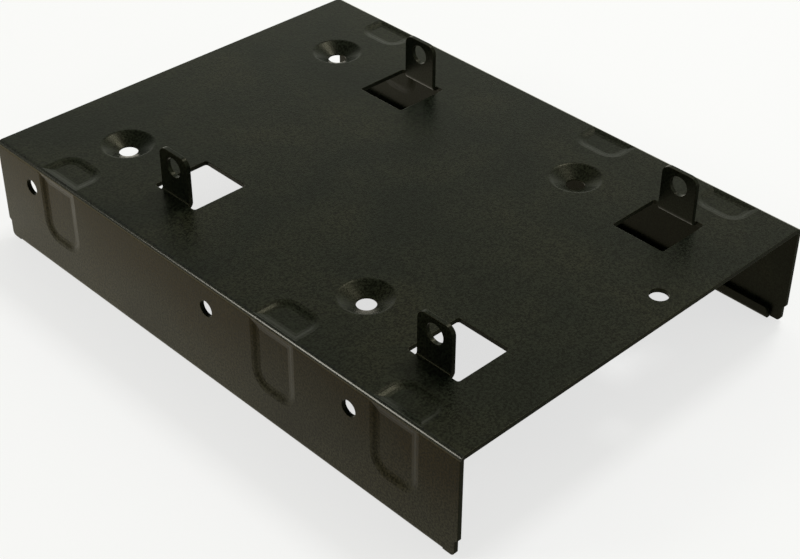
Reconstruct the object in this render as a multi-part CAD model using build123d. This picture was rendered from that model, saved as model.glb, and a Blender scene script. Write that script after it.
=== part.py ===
from build123d import *
from math import cos, pi, radians, sin, sqrt, tan
import os

# Drive bay adapter bracket, folded from one piece of steel sheet.
# +Z is up and the origin is under the middle of the bracket, on the surface that its hems stand on.
# X runs across the bracket and Y along it. The connector end of the bay is at -Y.
# Places along the bracket are measured from that end.

# Sheet and folded body
sheet = 1.0  # thickness of the steel
width = 101.6  # over the outer faces of the side flanges, as wide as the bay
length = 142.0
height = 25.0  # from the underside of the hems to the top of the plate
bend_radius = 0.2  # inner radius of the two long bends

# Lower ends of the side flanges
tip_height = 4.8  # the lowest part of each end is cut back from here down
tip_setback = 0.7
tip_slant = 0.5  # height of the slanted step above the cut-back part
tip_radius = 1.0
tip_rise = 0.5  # the bare edge at each end stands this far above the hem

# Hem along the lower edge of each side flange, folded inwards
hem_height = 3.0
hem_gap = 0.2  # left between the flange and the folded flap
hem_setback = 3.6  # from each end of the bracket to the hem
hem_corner = 1.0

# Screw holes of the bay in the side flanges
bay_hole_diameter = 3.7
bay_hole_drop = 6.5  # from the top of the plate to the hole's centre
bay_hole_first = 28.5
bay_hole_middle = 41.6  # from the first hole
bay_hole_last = 101.6  # from the first hole

# Screw pattern of the small bay: the tabs follow its pitch, the dimples its pitch and its spread
screw_pitch = 76.6  # along the bracket
screw_spread = 61.72  # across the bracket

# Tabs that are bent up from the plate in two facing rows
tab_gap = 70.2  # between the inner faces of the two rows
tab_first = 21.2
tab_width = 9.0
tab_height = 10.6
tab_radius = 0.4  # inner radius of the fold
tab_corner = 2.0
tab_hole_diameter = 4.5
tab_hole_height = 7.1
bend_neutral = 0.45  # share of the thickness where the folded sheet keeps its length

# Window that each tab is cut from
window_margin = 2.2  # clear of the flat tab, on its sides and at its end
window_corner = 0.6

# Conical dimples that take countersunk screw heads
dimple_first = 45.0
dimple_depth = 1.9
dimple_slope = 27  # degrees between the cone and the plate
dimple_rim_radius = 1.2  # of the round bend from the plate into the cone
dimple_hole_diameter = 4.2
dimple_land = 0.3  # straight part of the hole's wall
dimple_break = 0.4  # how far the underside is broken back round the hole

# Single plain hole near the connector end
plain_hole_diameter = 4.2
plain_hole_across = 10.9
plain_hole_along = 5.9

# Dents pressed across each long bend, which stiffen it
dent_places = (16.5, 50.1, 120.1)
dent_width = 12.7
dent_depth = 0.5
dent_wall = 2.2  # width of the sloping side of a dent
dent_steps = 3  # strips that the S of this side is made of
dent_start = 0.6  # from the corner of plate and flange to the dent's pockets in both
dent_flange_reach = 17.4  # from the top of the plate down the flange
dent_flange_corner = 4.6
dent_plate_reach = 9.2  # from the outer face of the flange in over the plate
dent_plate_corner = 4.2
dent_fold = 0.2  # how far the bend itself is pressed in
dent_fold_radius = 2.0  # outer radius of the pressed bend

outer_radius = bend_radius + sheet
hem_radius = sheet + hem_gap / 2
tab_face = tab_gap / 2 + sheet  # outer face of a tab
tab_fold = tab_face + tab_radius  # where a tab starts to leave the plate
beyond = 1.0  # how far a cutting shape runs past what it cuts


def along(place):
    """Y of a place that is given from the connector end."""
    return place - length / 2


def box_between(low, high):
    """Box from its lowest corner to its highest."""
    size = [b - a for a, b in zip(low, high)]
    return Pos(*low) * Box(*size, align=(Align.MIN, Align.MIN, Align.MIN))


def channel():
    """Plate and side flanges: a rounded U section along the whole bracket."""
    outer = Pos(0, height / 2) * Rectangle(width, height)
    outer = fillet(outer.vertices().group_by(Axis.Y)[-1], outer_radius)
    inner = Pos(0, (height - sheet) / 2) * Rectangle(width - 2 * sheet, height - sheet)
    inner = fillet(inner.vertices().group_by(Axis.Y)[-1], bend_radius)
    return extrude(Plane.XZ * (outer - inner), length / 2, both=True)


def side_outline():
    """Outline of a side flange seen from the side, with its cut-back, rounded tips."""
    end = length / 2
    tip = end - tip_setback
    step = [(end, tip_height), (tip, tip_height - tip_slant), (tip, tip_rise)]
    half = Polyline((0, height), (end, height), *step, (0, tip_rise), close=True)
    face = Plane.YZ * make_face(half)
    corner = face.vertices().filter_by_position(Axis.Y, tip, tip).group_by(Axis.Z)[0]
    face = fillet(corner, tip_radius)
    solid = extrude(face, width, both=True)
    return solid + mirror(solid, Plane.XZ)


def hem():
    """Left hem: the sheet turned back on itself and standing against the flange."""
    hem_length = length - 2 * hem_setback
    centre = hem_radius - width / 2
    ring = Circle(hem_radius) - Circle(hem_radius - sheet)
    ring &= Pos(0, -hem_radius) * Rectangle(2 * hem_radius, 2 * hem_radius)
    turn = extrude(Plane.XZ * Pos(centre, hem_radius) * ring, hem_length / 2, both=True)
    rise = hem_height - hem_radius
    flap = Pos(0, rise / 2) * Rectangle(hem_length, rise)
    flap = fillet(flap.vertices().group_by(Axis.Y)[-1], hem_corner)
    inner_face = hem_gap + 2 * sheet - width / 2
    flap = extrude(Plane.YZ * Pos(0, hem_radius) * flap, sheet)
    return turn + Pos(inner_face - sheet, 0, 0) * flap


def hem_notch():
    """Stretch of the left flange's lowest edge that the turn of the hem takes the place of."""
    end = length / 2 - hem_setback
    return box_between((-width / 2 - beyond, -end, -beyond), (sheet - width / 2, end, hem_radius))


def tab():
    """Left tab with its fold, at the middle of the bracket."""
    fold = Pos(-tab_fold, height + tab_radius) * (Circle(tab_radius + sheet) - Circle(tab_radius))
    quarter = tab_radius + sheet
    fold &= Pos(-tab_fold, height + tab_radius) * Rectangle(quarter, quarter, align=(Align.MIN, Align.MAX))
    turn = extrude(Plane.XZ * fold, tab_width / 2, both=True)
    rise = tab_height - tab_radius
    face = Pos(0, rise / 2) * Rectangle(tab_width, rise)
    face = fillet(face.vertices().group_by(Axis.Y)[-1], tab_corner)
    blade = extrude(Plane.YZ * Pos(0, height + tab_radius) * face, sheet)
    return turn + Pos(-tab_face, 0, 0) * blade


def window():
    """Opening that the left tab was cut from and folded out of."""
    turned = pi / 2 * (tab_radius + bend_neutral * sheet)
    reach = turned + tab_height - tab_radius + window_margin
    outline = RectangleRounded(reach, tab_width + 2 * window_margin, window_corner)
    place = Pos(-tab_fold + reach / 2, 0, height - sheet - beyond)
    return place * extrude(outline, sheet + 2 * beyond)


def dimple_radius():
    """Radius of the circle where the plate starts to bend into the dimple."""
    cone = dimple_depth / tan(radians(dimple_slope))
    return dimple_hole_diameter / 2 + cone + dimple_rim_radius * tan(radians(dimple_slope) / 2)


def dimple():
    """The sheet pressed down into a cone round a hole."""
    across = sin(radians(dimple_slope))
    down = cos(radians(dimple_slope))
    mouth = dimple_radius()
    centre = height - dimple_rim_radius
    rim = (mouth - dimple_rim_radius * across, centre + dimple_rim_radius * down)
    under = dimple_rim_radius - sheet
    under_rim = (mouth - under * across, centre + under * down)
    hole = dimple_hole_diameter / 2
    lip = height - dimple_depth
    broken = (hole + sheet * across + dimple_break * down, lip - sheet * down + dimple_break * across)

    edge = Polyline((mouth, height - sheet), (mouth, height))
    edge += RadiusArc((mouth, height), rim, -dimple_rim_radius)
    edge += Polyline(rim, (hole, lip), (hole, lip - dimple_land), broken, under_rim, (mouth, height - sheet))
    return revolve(Plane.XZ * make_face(edge), Axis.Z)


def dent_pocket(reach, corner):
    """Shallow pocket with S-shaped walls. Its mouth is on the XY plane, its round corners along +X."""
    outlines = []
    for step in range(dent_steps + 1):
        share = step / dent_steps
        inset = dent_wall * share
        near, far = dent_start + inset, reach - inset
        half = dent_width / 2 - inset
        face = make_face(Polyline((near, -half), (far, -half), (far, half), (near, half), close=True))
        face = fillet(face.vertices().group_by(Axis.X)[-1], corner - inset)
        outlines.append(Pos(0, 0, -dent_depth * (1 - cos(pi * share)) / 2) * face)
    return loft(outlines, ruled=True)


def fold_section(place, depth):
    """All that lies outside a wide arc, this far below the surface of the left bend."""
    corner_gap = (sqrt(2) - 1) * outer_radius + depth
    centre = (dent_fold_radius + corner_gap) / sqrt(2)
    square = centre + beyond
    outside = Pos(-beyond, beyond) * Rectangle(square, square, align=(Align.MIN, Align.MAX))
    outside -= Pos(centre, -centre) * Circle(dent_fold_radius)
    return Pos(-width / 2, place, height) * Plane.XZ * outside


def pressed_fold():
    """Cutter that presses the left bend in along a dent, with sloping ends."""
    half = dent_width / 2
    floor = half - dent_wall
    clear = -dent_fold / 4
    sections = [(-half, clear), (-floor, dent_fold), (floor, dent_fold), (half, clear)]
    return loft([fold_section(place, depth).face() for place, depth in sections], ruled=True)


def dent(mouth):
    """Pockets of the left dent in plate and flange, with their mouths this far inside the outer faces."""
    corner = (-width / 2, 0, height)
    on_plate = Plane(corner, x_dir=(1, 0, 0), z_dir=(0, 0, 1))
    on_flange = Plane(corner, x_dir=(0, 0, -1), z_dir=(-1, 0, 0))
    plate = on_plate * Pos(0, 0, -mouth) * dent_pocket(dent_plate_reach, dent_plate_corner)
    flange = on_flange * Pos(0, 0, -mouth) * dent_pocket(dent_flange_reach, dent_flange_corner)
    return plate + flange


def both_sides(shape):
    """A shape of the left side and its mirror image on the right."""
    return shape + mirror(shape, Plane.YZ)


def bracket():
    """The whole folded sheet."""
    body = channel() & side_outline()
    body -= both_sides(hem_notch())
    body += both_sides(hem())

    swelling = both_sides(dent(sheet))
    hollow = both_sides(dent(0) + pressed_fold())
    for place in dent_places:
        body += Pos(0, along(place), 0) * swelling
        body -= Pos(0, along(place), 0) * hollow

    rows = [along(dimple_first), along(dimple_first + screw_pitch)]
    for across in (-screw_spread / 2, screw_spread / 2):
        for row in rows:
            body -= Pos(across, row, height) * Cylinder(dimple_radius(), 2 * (sheet + beyond))
            body += Pos(across, row, 0) * dimple()
    plain_hole = Pos(plain_hole_across, along(plain_hole_along), height)
    body -= plain_hole * Cylinder(plain_hole_diameter / 2, 2 * (sheet + beyond))

    for place in (tab_first, tab_first + screw_pitch):
        row = Pos(0, along(place), 0)
        body -= row * both_sides(window())
        body += row * both_sides(tab())
        body -= row * Pos(0, 0, height + tab_hole_height) * across_hole(tab_hole_diameter, tab_face)
    for place in (0, bay_hole_middle, bay_hole_last):
        hole = Pos(0, along(bay_hole_first + place), height - bay_hole_drop)
        body -= hole * across_hole(bay_hole_diameter, width / 2)
    return body


def across_hole(diameter, reach):
    """Round cutter along X through both sides of the bracket."""
    return Rot(0, 90, 0) * Cylinder(diameter / 2, 2 * (reach + beyond))


os.makedirs("parts", exist_ok=True)
export_step(bracket(), "parts/bracket.step")
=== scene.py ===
import math

import bpy
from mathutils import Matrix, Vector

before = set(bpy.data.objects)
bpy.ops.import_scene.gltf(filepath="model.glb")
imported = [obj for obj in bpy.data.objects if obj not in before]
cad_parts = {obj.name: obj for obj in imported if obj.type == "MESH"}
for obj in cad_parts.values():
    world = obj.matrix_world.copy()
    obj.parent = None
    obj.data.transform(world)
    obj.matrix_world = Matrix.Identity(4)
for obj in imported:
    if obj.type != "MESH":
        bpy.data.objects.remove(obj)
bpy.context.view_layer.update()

bl_info = {
    "name": "Drive bay adapter bracket",
    "version": (1, 0, 0),
    "blender": (4, 5, 0),
    "location": "3D View > Sidebar > Bracket",
    "description": "Powder-coats the folded steel bracket and sets it in a plain studio",
    "category": "Object",
}


def linear(hex_colour):
    """Linear red, green and blue of an sRGB hex colour."""
    shares = [int(hex_colour[i:i + 2], 16) / 255 for i in (1, 3, 5)]
    return tuple(c / 12.92 if c <= 0.04045 else ((c + 0.055) / 1.055) ** 2.4 for c in shares)


def add_node(tree, kind, inputs=None, out=0, **settings):
    """Adds a node with its settings and gives back one of its outputs, by name or number.

    Each input, by name or number, is given a value or another node's output.
    """
    node = tree.nodes.new(kind)
    for name, value in settings.items():
        setattr(node, name, value)
    for name, value in (inputs or {}).items():
        if isinstance(value, bpy.types.NodeSocket):
            tree.links.new(value, node.inputs[name])
        else:
            node.inputs[name].default_value = value
    return node.outputs[out] if node.outputs else None


class CoatSettings(bpy.types.PropertyGroup):
    colour: bpy.props.FloatVectorProperty(
        name="Coat", description="Colour of the black powder coat",
        subtype="COLOR", size=3, min=0, max=1, default=linear("#111610"))
    warm_colour: bpy.props.FloatVectorProperty(
        name="Warm patches", description="Colour that the coat drifts to in broad faint patches",
        subtype="COLOR", size=3, min=0, max=1, default=linear("#15160e"))
    # Painted shade: the upper outer flanges are coloured darker and browner, standing in for the dimmer,
    # browner reflection there.
    upper_painted_shade_colour: bpy.props.FloatVectorProperty(
        name="Upper flanges", description="Colour of the browner coat below the long bends",
        subtype="COLOR", size=3, min=0, max=1, default=linear("#211a0b"))
    # Painted light: the lower outer flanges are coloured lighter and greyer, standing in for the brighter
    # reflection of the floor there.
    lower_painted_light_colour: bpy.props.FloatVectorProperty(
        name="Lower flanges", description="Colour of the greyer coat along the hems",
        subtype="COLOR", size=3, min=0, max=1, default=linear("#343329"))
    # Painted highlight: a thin, lighter band of colour along the sheared edges stands in for their highlight.
    edge_highlight_colour: bpy.props.FloatVectorProperty(
        name="Edges", description="Colour of the thin, rubbed coat along the sheared edges",
        subtype="COLOR", size=3, min=0, max=1, default=linear("#45412f"))
    gloss_tint: bpy.props.FloatVectorProperty(
        name="Gloss tint", description="Tint of what the coat reflects",
        subtype="COLOR", size=3, min=0, max=1, default=linear("#fff8c8"))
    grain: bpy.props.FloatProperty(
        name="Grain", description="Width of the powder's fine grain",
        unit="LENGTH", default=0.00045, min=0.0001)
    grain_depth: bpy.props.FloatProperty(
        name="Grain depth", description="Height of the fine grain",
        unit="LENGTH", default=0.00003, min=0)
    ripple: bpy.props.FloatProperty(
        name="Ripple", description="Width of the shallow ripple that the coat flows into as it cures",
        unit="LENGTH", default=0.0018, min=0.0002)
    ripple_depth: bpy.props.FloatProperty(
        name="Ripple depth", description="Height of that ripple",
        unit="LENGTH", default=0.00001, min=0)
    patch: bpy.props.FloatProperty(
        name="Patches", description="Width of the broadest patches",
        unit="LENGTH", default=0.02, min=0.001)
    # The painted edge highlight reaches this far, and the rounded normals use the same width.
    edge_width: bpy.props.FloatProperty(
        name="Edge width", description="How far the rubbed band reaches from an edge",
        unit="LENGTH", default=0.0002, min=0)
    roughness: bpy.props.FloatProperty(
        name="Roughness", description="Mean roughness of the coat",
        subtype="FACTOR", default=0.32, min=0, max=1)


class StudioSettings(bpy.types.PropertyGroup):
    floor_size: bpy.props.FloatProperty(
        name="Floor", description="Side of the floor",
        unit="LENGTH", default=6.0, min=0.5)
    dim_side: bpy.props.FloatProperty(
        name="Dim side", description="Brightness of the room's left half",
        default=0.2, min=0)
    bright_side: bpy.props.FloatProperty(
        name="Bright side", description="Brightness of the room's right half",
        default=0.8, min=0)
    lens: bpy.props.FloatProperty(
        name="Lens", description="Focal length on a 36 mm sensor, in millimetres",
        default=74.25, min=1)
    eye: bpy.props.FloatVectorProperty(
        name="Eye", description="Place of the camera",
        subtype="XYZ", unit="LENGTH", size=3, default=(-0.20425, -0.21425, 0.218))
    turn: bpy.props.FloatVectorProperty(
        name="Turn", description="Turn of the camera",
        subtype="EULER", unit="ROTATION", size=3,
        default=(math.radians(53.585), math.radians(-1.711), math.radians(-45.856)))
    shift: bpy.props.FloatProperty(
        name="Shift", description="Sideways shift of the lens, as a share of the picture's width",
        default=-0.0875)


def edge_highlight_share(tree, rounded, true_normal, patches):
    """Share of painted highlight along the sheared edges: how far the rounded normal leans from the true one,
    broken up by the patches.

    Only the sheared edges make it lean far enough, not the rims of the dents.
    """
    alike = add_node(tree, "ShaderNodeVectorMath", {0: rounded, 1: true_normal}, "Value",
                     operation="DOT_PRODUCT")
    edge = add_node(tree, "ShaderNodeMapRange", {"Value": alike, "From Min": 0.93, "From Max": 0.76})
    broken = add_node(tree, "ShaderNodeMapRange", {
        "Value": patches, "From Min": 0.35, "From Max": 0.65, "To Min": 0.35})
    return add_node(tree, "ShaderNodeMath", {0: edge, 1: broken}, operation="MULTIPLY")


def bend_share(tree, spot):
    """Share of the glossy line over the long bends, where the powder flows out thin.

    Only there is the sum of the height and the distance from the middle so great, in metres.
    """
    aside = add_node(tree, "ShaderNodeMath", {0: spot["X"]}, operation="ABSOLUTE")
    reach = add_node(tree, "ShaderNodeMath", {0: aside, 1: spot["Z"]}, operation="ADD")
    return add_node(tree, "ShaderNodeMapRange", {"Value": reach, "From Min": 0.0747, "From Max": 0.075})


def skin_colour(tree, coat, spot, facing, patches):
    """Colour of the even coat, slightly olive. On the outer faces of the flanges it has painted shade and
    light: darker and browner above, lighter and greyer along the hems.
    """
    warm = add_node(tree, "ShaderNodeMapRange", {"Value": patches, "From Min": 0.35, "From Max": 0.7})
    plate = add_node(tree, "ShaderNodeMix", {
        0: warm, 6: (*coat.colour, 1), 7: (*coat.warm_colour, 1)}, 2, data_type="RGBA")

    # The patches move the change from the painted light below to the painted shade above up and down by some
    # millimetres.
    patch_lift = 0.03
    lift = add_node(tree, "ShaderNodeMath", {0: patches, 1: patch_lift}, operation="MULTIPLY")
    height = add_node(tree, "ShaderNodeMath", {0: spot["Z"], 1: lift}, operation="ADD")
    upper = add_node(tree, "ShaderNodeMapRange", {"Value": height, "From Min": 0.022, "From Max": 0.036})
    flange_painted_light = add_node(tree, "ShaderNodeMix", {
        0: upper, 6: (*coat.lower_painted_light_colour, 1), 7: (*coat.upper_painted_shade_colour, 1)}, 2, data_type="RGBA")

    # The painted shade and light go only on the outer faces of the flanges, which alone look outward and lie
    # this far from the middle, in metres.
    outward = add_node(tree, "ShaderNodeMath", {0: facing["X"], 1: spot["X"]}, operation="MULTIPLY")
    outside = add_node(tree, "ShaderNodeMapRange", {
        "Value": outward, "From Min": 0.044, "From Max": 0.049})
    return add_node(tree, "ShaderNodeMix", {0: outside, 6: plate, 7: flange_painted_light}, 2, data_type="RGBA")


def speckled(tree, skin, grain, patches):
    """A colour made darker and lighter by the grain and, less so, by the patches."""
    speckle = add_node(tree, "ShaderNodeMapRange", {
        "Value": grain, "From Min": 0.38, "From Max": 0.62, "To Min": 0.3, "To Max": 1.7})
    mottle = add_node(tree, "ShaderNodeMapRange", {
        "Value": patches, "From Min": 0.35, "From Max": 0.65, "To Min": 0.72, "To Max": 1.28})
    shade = add_node(tree, "ShaderNodeMath", {0: speckle, 1: mottle}, operation="MULTIPLY")
    return add_node(tree, "ShaderNodeVectorMath", {0: skin, 3: shade}, operation="SCALE")


def coat_roughness(tree, coat, facing, grain):
    """Roughness that varies with the grain. The sheared ends of the sheet take a thin, dull coat."""
    spread = 0.04
    grained = add_node(tree, "ShaderNodeMapRange", {
        "Value": grain, "From Min": 0.4, "From Max": 0.6,
        "To Min": coat.roughness - spread, "To Max": coat.roughness + spread})
    endways = add_node(tree, "ShaderNodeMath", {0: facing["Y"]}, operation="ABSOLUTE")
    dull = add_node(tree, "ShaderNodeMapRange", {
        "Value": endways, "From Min": 0.85, "From Max": 0.95, "To Max": 0.4})
    return add_node(tree, "ShaderNodeMath", {0: grained, 1: dull}, operation="ADD")


def black_powder_coat(coat):
    """Black polyester powder coat, sprayed dry and baked on folded steel.

    It gives the eye a near-black, slightly olive skin with a low, soft gloss, a fine grain, a faint ripple
    and broad patches. The outer faces of the flanges have painted shade above, darker and browner, and
    painted light below, lighter and greyer. The long bends have a glossy line, and the sheared edges have a
    thin painted highlight, a lighter band of colour.
    """
    material = bpy.data.materials.new("black_powder_coat")
    material.use_nodes = True
    tree = material.node_tree
    tree.nodes.clear()
    place = add_node(tree, "ShaderNodeTexCoord", out="Object")
    spot = add_node(tree, "ShaderNodeSeparateXYZ", {"Vector": place}).node.outputs
    true_normal = add_node(tree, "ShaderNodeNewGeometry", out="Normal")
    facing = add_node(tree, "ShaderNodeSeparateXYZ", {"Vector": true_normal}).node.outputs
    rounded = add_node(tree, "ShaderNodeBevel", {"Radius": coat.edge_width}, samples=6)

    # The grain of a real coat is about 0.1 mm wide, too fine to show here, so it is drawn at 0.45 mm.
    grain = add_node(tree, "ShaderNodeTexNoise", {
        "Vector": place, "Scale": 1 / coat.grain, "Detail": 1.5, "Roughness": 0.6}, "Fac")
    # Ripples of baked powder coat are 1 to 3 mm wide.
    ripple = add_node(tree, "ShaderNodeTexNoise", {
        "Vector": place, "Scale": 1 / coat.ripple, "Detail": 1.0}, "Fac")
    # Patches of 5 to 20 mm, where the coat lies a little thicker or thinner.
    patches = add_node(tree, "ShaderNodeTexNoise", {
        "Vector": place, "Scale": 1 / coat.patch, "Detail": 3.0, "Distortion": 0.4}, "Fac")

    skin = speckled(tree, skin_colour(tree, coat, spot, facing, patches), grain, patches)
    # The sheared edges get a painted highlight, a thin band mixed toward the lighter edge colour.
    edge_highlight = edge_highlight_share(tree, rounded, true_normal, patches)
    colour = add_node(tree, "ShaderNodeMix", {
        0: edge_highlight, 6: skin, 7: (*coat.edge_highlight_colour, 1)}, 2, data_type="RGBA")
    rippled = add_node(tree, "ShaderNodeBump", {
        "Height": ripple, "Distance": coat.ripple_depth, "Strength": 1.0, "Normal": rounded})
    grained = add_node(tree, "ShaderNodeBump", {
        "Height": grain, "Distance": coat.grain_depth, "Strength": 1.0, "Normal": rippled})

    shader = add_node(tree, "ShaderNodeBsdfPrincipled", {
        "Base Color": colour, "Roughness": coat_roughness(tree, coat, facing, grain), "Normal": grained,
        "Metallic": 0.0, "IOR": 1.18, "Specular Tint": (*coat.gloss_tint, 1),
        "Coat Weight": bend_share(tree, spot), "Coat Roughness": 0.19, "Coat IOR": 1.5,
        "Coat Normal": rippled})
    add_node(tree, "ShaderNodeOutputMaterial", {"Surface": shader})
    return material


def mirrored_light(tree):
    """Painted reflection: light that the floor glows with for glossy rays only, so that the coat mirrors it,
    warm white.

    There is more of it toward the bracket's far end, and it is dimmer and warmer out to the left.
    """
    place = add_node(tree, "ShaderNodeTexCoord", out="Object")
    spot = add_node(tree, "ShaderNodeSeparateXYZ", {"Vector": place}).node.outputs
    beside = add_node(tree, "ShaderNodeMapRange", {
        "Value": spot["X"], "From Min": -0.08, "From Max": -0.056})
    tone = add_node(tree, "ShaderNodeMix", {
        0: beside, 6: (0.62, 0.52, 0.28, 1), 7: (1.08, 1.02, 0.86, 1)}, 2, data_type="RGBA")
    far = add_node(tree, "ShaderNodeMapRange", {
        "Value": spot["Y"], "From Min": -0.05, "From Max": 0.1, "To Min": 0.95, "To Max": 1.7})
    return add_node(tree, "ShaderNodeVectorMath", {0: tone, 3: far}, operation="SCALE")


def white_floor():
    """Matt white paper that is plain white to the eye and keeps part of the bracket's shadow. In the coat's
    reflections it glows with a painted reflection, warm and uneven.
    """
    material = bpy.data.materials.new("white_paper")
    material.use_nodes = True
    tree = material.node_tree
    tree.nodes.clear()
    path = add_node(tree, "ShaderNodeLightPath").node.outputs
    seen = add_node(tree, "ShaderNodeMath", {
        0: path["Is Camera Ray"], 1: path["Is Glossy Ray"]}, operation="MAXIMUM")
    seen = add_node(tree, "ShaderNodeMath", {
        0: seen, 1: path["Is Transmission Ray"]}, operation="MAXIMUM")
    # Glossy rays see the painted reflection in place of plain white.
    tone = add_node(tree, "ShaderNodeMix", {
        0: path["Is Glossy Ray"], 6: (1, 1, 1, 1), 7: mirrored_light(tree)}, 2, data_type="RGBA")
    glow = add_node(tree, "ShaderNodeEmission", {"Color": tone, "Strength": seen})
    # The shadow falls on the matt share only.
    matt = add_node(tree, "ShaderNodeBsdfDiffuse", {"Color": (*linear("#fafafa"), 1)})
    glow_share = 0.7
    both = add_node(tree, "ShaderNodeMixShader", {0: glow_share, 1: matt, 2: glow})
    add_node(tree, "ShaderNodeOutputMaterial", {"Surface": both})
    return material


def studio_world(studio):
    """A plain room that is brighter on the bracket's right than on its left, and brightest low down."""
    world = bpy.data.worlds.new("white_room")
    world.use_nodes = True
    tree = world.node_tree
    tree.nodes.clear()
    direction = add_node(tree, "ShaderNodeTexCoord", out="Generated")
    toward = add_node(tree, "ShaderNodeSeparateXYZ", {"Vector": direction}).node.outputs
    side = add_node(tree, "ShaderNodeMapRange", {
        "Value": toward["X"], "From Min": -0.05, "From Max": 0.42,
        "To Min": studio.dim_side, "To Max": studio.bright_side}, interpolation_type="SMOOTHSTEP")
    low = add_node(tree, "ShaderNodeMapRange", {
        "Value": toward["Z"], "From Min": 0.51, "From Max": 0.44, "To Min": 1.0, "To Max": 1.38})
    level = add_node(tree, "ShaderNodeMath", {0: side, 1: low}, operation="MULTIPLY")
    room = add_node(tree, "ShaderNodeBackground", {"Color": (0.97, 1, 0.87, 1), "Strength": level})
    add_node(tree, "ShaderNodeOutputWorld", {"Surface": room})
    return world


def softbox(name, place, aim, size, radiance, colour):
    """A rectangular lamp that faces its aim. Its power is its radiance times pi times its area."""
    data = bpy.data.lights.new(name, "AREA")
    data.shape = "RECTANGLE"
    data.size, data.size_y = size
    data.energy = radiance * math.pi * size[0] * size[1]
    data.color = colour
    lamp = bpy.data.objects.new(name, data)
    bpy.context.scene.collection.objects.link(lamp)
    lamp.location = place
    lamp.rotation_euler = (Vector(aim) - Vector(place)).to_track_quat("-Z", "Y").to_euler()


def floor_sheet(side):
    """Square white floor that the hems stand on."""
    half = side / 2
    mesh = bpy.data.meshes.new("floor")
    mesh.from_pydata(
        [(-half, -half, 0), (half, -half, 0), (half, half, 0), (-half, half, 0)], [], [(0, 1, 2, 3)])
    mesh.materials.append(white_floor())
    floor = bpy.data.objects.new("floor", mesh)
    bpy.context.scene.collection.objects.link(floor)


def studio_camera(studio):
    """Camera that looks at the bracket from its near left corner and a little above."""
    data = bpy.data.cameras.new("camera")
    data.sensor_width = 36
    data.lens = studio.lens
    data.shift_x = studio.shift
    data.clip_start, data.clip_end = 0.01, 20
    camera = bpy.data.objects.new("camera", data)
    bpy.context.scene.collection.objects.link(camera)
    camera.location = studio.eye
    camera.rotation_euler = studio.turn
    bpy.context.scene.camera = camera


class BRACKET_OT_coat(bpy.types.Operator):
    """Gives the folded bracket its black powder coat"""
    bl_idname = "bracket.coat"
    bl_label = "Powder-coat the bracket"

    def execute(self, context):
        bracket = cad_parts["bracket"]
        material = black_powder_coat(context.scene.bracket_coat)
        bracket.data.materials.clear()
        bracket.data.materials.append(material)
        return {"FINISHED"}


class BRACKET_OT_studio(bpy.types.Operator):
    """Lays the floor and sets the lamps, the room and the camera"""
    bl_idname = "bracket.studio"
    bl_label = "Set the studio"

    def execute(self, context):
        scene = context.scene
        studio = scene.bracket_studio
        floor_sheet(studio.floor_size)
        scene.world = studio_world(studio)
        # This lamp draws the bright line along the left bend, which fades past the end of its mirror image.
        softbox("softbox_left", place=(-0.843, 0.66, 0.645), aim=(-0.05, -0.03, 0.025),
                size=(0.27, 0.34), radiance=10.0, colour=(1.0, 0.97, 0.86))
        # This one lights those walls of the dents and dimples that lean toward it.
        softbox("softbox_top", place=(0.485, 0.04, 0.852), aim=(0, 0, 0),
                size=(0.22, 0.22), radiance=24.0, colour=(1.0, 1.0, 1.0))
        studio_camera(studio)
        scene.view_settings.view_transform = "Standard"
        return {"FINISHED"}


class BRACKET_PT_sidebar(bpy.types.Panel):
    """Lists the bracket's settings and steps"""
    bl_label = "Bracket"
    bl_idname = "BRACKET_PT_sidebar"
    bl_space_type = "VIEW_3D"
    bl_region_type = "UI"
    bl_category = "Bracket"

    def draw(self, context):
        layout = self.layout
        scene = context.scene
        for title, group in (("Coat", scene.bracket_coat), ("Studio", scene.bracket_studio)):
            layout.label(text=title)
            for name in group.bl_rna.properties.keys():
                if name not in ("rna_type", "name"):
                    layout.prop(group, name)
        layout.operator("bracket.coat")
        layout.operator("bracket.studio")


classes = (CoatSettings, StudioSettings, BRACKET_OT_coat, BRACKET_OT_studio, BRACKET_PT_sidebar)


def register():
    for cls in classes:
        bpy.utils.register_class(cls)
    bpy.types.Scene.bracket_coat = bpy.props.PointerProperty(type=CoatSettings)
    bpy.types.Scene.bracket_studio = bpy.props.PointerProperty(type=StudioSettings)


def unregister():
    del bpy.types.Scene.bracket_studio
    del bpy.types.Scene.bracket_coat
    for cls in reversed(classes):
        bpy.utils.unregister_class(cls)


def main():
    register()
    bpy.ops.bracket.coat()
    bpy.ops.bracket.studio()


if __name__ == "__main__":
    main()
